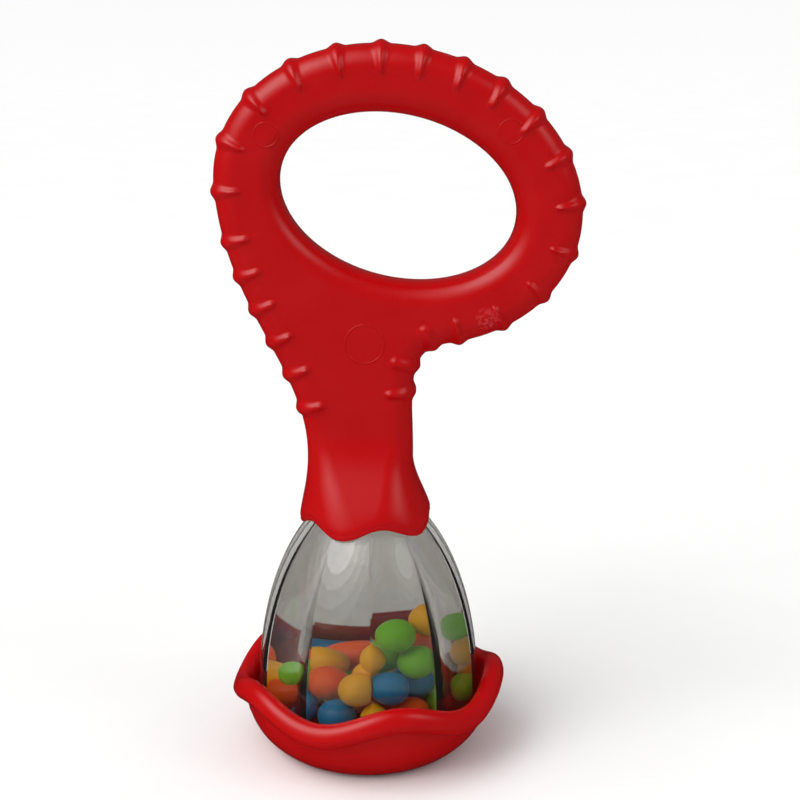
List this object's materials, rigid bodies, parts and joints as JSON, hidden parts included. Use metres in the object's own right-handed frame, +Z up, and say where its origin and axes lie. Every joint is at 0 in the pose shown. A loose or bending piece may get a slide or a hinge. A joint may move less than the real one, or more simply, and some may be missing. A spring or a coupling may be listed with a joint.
{
  "type": "baby rattle",
  "caption": "Maraca-shaped baby rattle: tilted oval ring handle with grip ribs, clear ten-sided chamber of loose coloured beads, and a red cup base with a rolled wavy rim.",
  "frame": {"origin": "centre of the cup's flat underside", "axes": "+Z up along the chamber's axis to the ring handle, +X across the ring to its low end, the front faces -Y"},
  "size_m": [0.0795, 0.0618, 0.1574],
  "materials": {
    "handle_red": "moulded, satin gloss",
    "cup_red": "moulded, satin gloss",
    "floor_red": "moulded, satin gloss",
    "chamber_clear": "clear moulded styrene, polished",
    "bead_blue": "moulded, satin",
    "bead_green": "moulded, satin",
    "bead_orange": "moulded, satin",
    "bead_yellow": "moulded, satin"
  },
  "bodies": {
    "body": {"handle_front": "handle_red", "handle_back": "handle_red", "chamber": "chamber_clear", "chamber_floor": "floor_red", "base_cup": "cup_red"},
    "bead_blue_01": {"bead_blue_01": "bead_blue"},
    "bead_blue_02": {"bead_blue_02": "bead_blue"},
    "bead_blue_03": {"bead_blue_03": "bead_blue"},
    "bead_blue_04": {"bead_blue_04": "bead_blue"},
    "bead_blue_05": {"bead_blue_05": "bead_blue"},
    "bead_blue_06": {"bead_blue_06": "bead_blue"},
    "bead_blue_07": {"bead_blue_07": "bead_blue"},
    "bead_blue_08": {"bead_blue_08": "bead_blue"},
    "bead_blue_09": {"bead_blue_09": "bead_blue"},
    "bead_green_01": {"bead_green_01": "bead_green"},
    "bead_green_02": {"bead_green_02": "bead_green"},
    "bead_green_03": {"bead_green_03": "bead_green"},
    "bead_green_04": {"bead_green_04": "bead_green"},
    "bead_green_05": {"bead_green_05": "bead_green"},
    "bead_green_06": {"bead_green_06": "bead_green"},
    "bead_green_07": {"bead_green_07": "bead_green"},
    "bead_green_08": {"bead_green_08": "bead_green"},
    "bead_green_09": {"bead_green_09": "bead_green"},
    "bead_green_10": {"bead_green_10": "bead_green"},
    "bead_green_11": {"bead_green_11": "bead_green"},
    "bead_green_12": {"bead_green_12": "bead_green"},
    "bead_orange_01": {"bead_orange_01": "bead_orange"},
    "bead_orange_02": {"bead_orange_02": "bead_orange"},
    "bead_orange_03": {"bead_orange_03": "bead_orange"},
    "bead_orange_04": {"bead_orange_04": "bead_orange"},
    "bead_orange_05": {"bead_orange_05": "bead_orange"},
    "bead_orange_06": {"bead_orange_06": "bead_orange"},
    "bead_orange_07": {"bead_orange_07": "bead_orange"},
    "bead_orange_08": {"bead_orange_08": "bead_orange"},
    "bead_orange_09": {"bead_orange_09": "bead_orange"},
    "bead_orange_10": {"bead_orange_10": "bead_orange"},
    "bead_yellow_01": {"bead_yellow_01": "bead_yellow"},
    "bead_yellow_02": {"bead_yellow_02": "bead_yellow"},
    "bead_yellow_03": {"bead_yellow_03": "bead_yellow"},
    "bead_yellow_04": {"bead_yellow_04": "bead_yellow"},
    "bead_yellow_05": {"bead_yellow_05": "bead_yellow"},
    "bead_yellow_06": {"bead_yellow_06": "bead_yellow"},
    "bead_yellow_07": {"bead_yellow_07": "bead_yellow"},
    "bead_yellow_08": {"bead_yellow_08": "bead_yellow"},
    "bead_yellow_09": {"bead_yellow_09": "bead_yellow"},
    "bead_yellow_10": {"bead_yellow_10": "bead_yellow"},
    "bead_yellow_11": {"bead_yellow_11": "bead_yellow"}
  },
  "joints": [
    {"name": "lift_yellow_11", "type": "slide", "parent": "body", "child": "bead_yellow_11", "axis": [0, 0, 1], "range_m": [0, 0.004]},
    {"name": "lift_blue_01", "type": "slide", "parent": "body", "child": "bead_blue_01", "axis": [0, 0, 1], "range_m": [0, 0.0014]},
    {"name": "lift_blue_02", "type": "slide", "parent": "body", "child": "bead_blue_02", "axis": [0, 0, 1], "range_m": [0, 0.0014]},
    {"name": "lift_blue_03", "type": "slide", "parent": "body", "child": "bead_blue_03", "axis": [0, 0, 1], "range_m": [0, 0.0014]},
    {"name": "lift_blue_04", "type": "slide", "parent": "body", "child": "bead_blue_04", "axis": [0, 0, 1], "range_m": [0, 0.0014]},
    {"name": "lift_blue_05", "type": "slide", "parent": "body", "child": "bead_blue_05", "axis": [0, 0, 1], "range_m": [0, 0.0014]},
    {"name": "lift_blue_06", "type": "slide", "parent": "body", "child": "bead_blue_06", "axis": [0, 0, 1], "range_m": [0, 0.00228]},
    {"name": "lift_blue_07", "type": "slide", "parent": "body", "child": "bead_blue_07", "axis": [0, 0, 1], "range_m": [0, 0.00204]},
    {"name": "hop_blue_08", "type": "slide", "parent": "bead_yellow_11", "child": "bead_blue_08", "axis": [0, 0, 1], "range_m": [0, 0.014]},
    {"name": "lift_blue_09", "type": "slide", "parent": "body", "child": "bead_blue_09", "axis": [0, 0, 1], "range_m": [0, 0.00232]},
    {"name": "lift_green_01", "type": "slide", "parent": "body", "child": "bead_green_01", "axis": [0, 0, 1], "range_m": [0, 0.0014]},
    {"name": "lift_green_02", "type": "slide", "parent": "body", "child": "bead_green_02", "axis": [0, 0, 1], "range_m": [0, 0.0014]},
    {"name": "lift_green_03", "type": "slide", "parent": "body", "child": "bead_green_03", "axis": [0, 0, 1], "range_m": [0, 0.0014]},
    {"name": "lift_green_04", "type": "slide", "parent": "body", "child": "bead_green_04", "axis": [0, 0, 1], "range_m": [0, 0.0014]},
    {"name": "lift_green_05", "type": "slide", "parent": "body", "child": "bead_green_05", "axis": [0, 0, 1], "range_m": [0, 0.0014]},
    {"name": "lift_green_06", "type": "slide", "parent": "body", "child": "bead_green_06", "axis": [0, 0, 1], "range_m": [0, 0.0014]},
    {"name": "lift_green_07", "type": "slide", "parent": "body", "child": "bead_green_07", "axis": [0, 0, 1], "range_m": [0, 0.00228]},
    {"name": "lift_green_08", "type": "slide", "parent": "body", "child": "bead_green_08", "axis": [0, 0, 1], "range_m": [0, 0.00292]},
    {"name": "lift_green_09", "type": "slide", "parent": "body", "child": "bead_green_09", "axis": [0, 0, 1], "range_m": [0, 0.00228]},
    {"name": "lift_green_10", "type": "slide", "parent": "body", "child": "bead_green_10", "axis": [0, 0, 1], "range_m": [0, 0.0026]},
    {"name": "lift_green_11", "type": "slide", "parent": "body", "child": "bead_green_11", "axis": [0, 0, 1], "range_m": [0, 0.00384]},
    {"name": "lift_green_12", "type": "slide", "parent": "body", "child": "bead_green_12", "axis": [0, 0, 1], "range_m": [0, 0.00328]},
    {"name": "lift_orange_01", "type": "slide", "parent": "body", "child": "bead_orange_01", "axis": [0, 0, 1], "range_m": [0, 0.0014]},
    {"name": "lift_orange_02", "type": "slide", "parent": "body", "child": "bead_orange_02", "axis": [0, 0, 1], "range_m": [0, 0.0014]},
    {"name": "lift_orange_03", "type": "slide", "parent": "body", "child": "bead_orange_03", "axis": [0, 0, 1], "range_m": [0, 0.0014]},
    {"name": "lift_orange_04", "type": "slide", "parent": "body", "child": "bead_orange_04", "axis": [0, 0, 1], "range_m": [0, 0.0014]},
    {"name": "lift_orange_05", "type": "slide", "parent": "body", "child": "bead_orange_05", "axis": [0, 0, 1], "range_m": [0, 0.0014]},
    {"name": "lift_orange_06", "type": "slide", "parent": "body", "child": "bead_orange_06", "axis": [0, 0, 1], "range_m": [0, 0.0014]},
    {"name": "lift_orange_07", "type": "slide", "parent": "body", "child": "bead_orange_07", "axis": [0, 0, 1], "range_m": [0, 0.00216]},
    {"name": "hop_orange_08", "type": "slide", "parent": "bead_yellow_11", "child": "bead_orange_08", "axis": [0, 0, 1], "range_m": [0, 0.014]},
    {"name": "lift_orange_09", "type": "slide", "parent": "body", "child": "bead_orange_09", "axis": [0, 0, 1], "range_m": [0, 0.00216]},
    {"name": "lift_orange_10", "type": "slide", "parent": "body", "child": "bead_orange_10", "axis": [0, 0, 1], "range_m": [0, 0.00312]},
    {"name": "lift_yellow_01", "type": "slide", "parent": "body", "child": "bead_yellow_01", "axis": [0, 0, 1], "range_m": [0, 0.0014]},
    {"name": "lift_yellow_02", "type": "slide", "parent": "body", "child": "bead_yellow_02", "axis": [0, 0, 1], "range_m": [0, 0.0014]},
    {"name": "lift_yellow_03", "type": "slide", "parent": "body", "child": "bead_yellow_03", "axis": [0, 0, 1], "range_m": [0, 0.0014]},
    {"name": "lift_yellow_04", "type": "slide", "parent": "body", "child": "bead_yellow_04", "axis": [0, 0, 1], "range_m": [0, 0.0014]},
    {"name": "lift_yellow_05", "type": "slide", "parent": "body", "child": "bead_yellow_05", "axis": [0, 0, 1], "range_m": [0, 0.0014]},
    {"name": "lift_yellow_06", "type": "slide", "parent": "body", "child": "bead_yellow_06", "axis": [0, 0, 1], "range_m": [0, 0.00228]},
    {"name": "hop_yellow_07", "type": "slide", "parent": "bead_yellow_11", "child": "bead_yellow_07", "axis": [0, 0, 1], "range_m": [0, 0.014]},
    {"name": "lift_yellow_08", "type": "slide", "parent": "body", "child": "bead_yellow_08", "axis": [0, 0, 1], "range_m": [0, 0.00228]},
    {"name": "lift_yellow_09", "type": "slide", "parent": "body", "child": "bead_yellow_09", "axis": [0, 0, 1], "range_m": [0, 0.00228]},
    {"name": "lift_yellow_10", "type": "slide", "parent": "body", "child": "bead_yellow_10", "axis": [0, 0, 1], "range_m": [0, 0.00308]}
  ],
  "couplings": [
    {"joint": "lift_blue_01", "follows": "lift_yellow_11", "ratio": 0.35},
    {"joint": "lift_blue_02", "follows": "lift_yellow_11", "ratio": 0.35},
    {"joint": "lift_blue_03", "follows": "lift_yellow_11", "ratio": 0.35},
    {"joint": "lift_blue_04", "follows": "lift_yellow_11", "ratio": 0.35},
    {"joint": "lift_blue_05", "follows": "lift_yellow_11", "ratio": 0.35},
    {"joint": "lift_blue_06", "follows": "lift_yellow_11", "ratio": 0.57},
    {"joint": "lift_blue_07", "follows": "lift_yellow_11", "ratio": 0.51},
    {"joint": "lift_blue_09", "follows": "lift_yellow_11", "ratio": 0.58},
    {"joint": "lift_green_01", "follows": "lift_yellow_11", "ratio": 0.35},
    {"joint": "lift_green_02", "follows": "lift_yellow_11", "ratio": 0.35},
    {"joint": "lift_green_03", "follows": "lift_yellow_11", "ratio": 0.35},
    {"joint": "lift_green_04", "follows": "lift_yellow_11", "ratio": 0.35},
    {"joint": "lift_green_05", "follows": "lift_yellow_11", "ratio": 0.35},
    {"joint": "lift_green_06", "follows": "lift_yellow_11", "ratio": 0.35},
    {"joint": "lift_green_07", "follows": "lift_yellow_11", "ratio": 0.57},
    {"joint": "lift_green_08", "follows": "lift_yellow_11", "ratio": 0.73},
    {"joint": "lift_green_09", "follows": "lift_yellow_11", "ratio": 0.57},
    {"joint": "lift_green_10", "follows": "lift_yellow_11", "ratio": 0.65},
    {"joint": "lift_green_11", "follows": "lift_yellow_11", "ratio": 0.96},
    {"joint": "lift_green_12", "follows": "lift_yellow_11", "ratio": 0.82},
    {"joint": "lift_orange_01", "follows": "lift_yellow_11", "ratio": 0.35},
    {"joint": "lift_orange_02", "follows": "lift_yellow_11", "ratio": 0.35},
    {"joint": "lift_orange_03", "follows": "lift_yellow_11", "ratio": 0.35},
    {"joint": "lift_orange_04", "follows": "lift_yellow_11", "ratio": 0.35},
    {"joint": "lift_orange_05", "follows": "lift_yellow_11", "ratio": 0.35},
    {"joint": "lift_orange_06", "follows": "lift_yellow_11", "ratio": 0.35},
    {"joint": "lift_orange_07", "follows": "lift_yellow_11", "ratio": 0.54},
    {"joint": "lift_orange_09", "follows": "lift_yellow_11", "ratio": 0.54},
    {"joint": "lift_orange_10", "follows": "lift_yellow_11", "ratio": 0.78},
    {"joint": "lift_yellow_01", "follows": "lift_yellow_11", "ratio": 0.35},
    {"joint": "lift_yellow_02", "follows": "lift_yellow_11", "ratio": 0.35},
    {"joint": "lift_yellow_03", "follows": "lift_yellow_11", "ratio": 0.35},
    {"joint": "lift_yellow_04", "follows": "lift_yellow_11", "ratio": 0.35},
    {"joint": "lift_yellow_05", "follows": "lift_yellow_11", "ratio": 0.35},
    {"joint": "lift_yellow_06", "follows": "lift_yellow_11", "ratio": 0.57},
    {"joint": "lift_yellow_08", "follows": "lift_yellow_11", "ratio": 0.57},
    {"joint": "lift_yellow_09", "follows": "lift_yellow_11", "ratio": 0.57},
    {"joint": "lift_yellow_10", "follows": "lift_yellow_11", "ratio": 0.77}
  ]
}
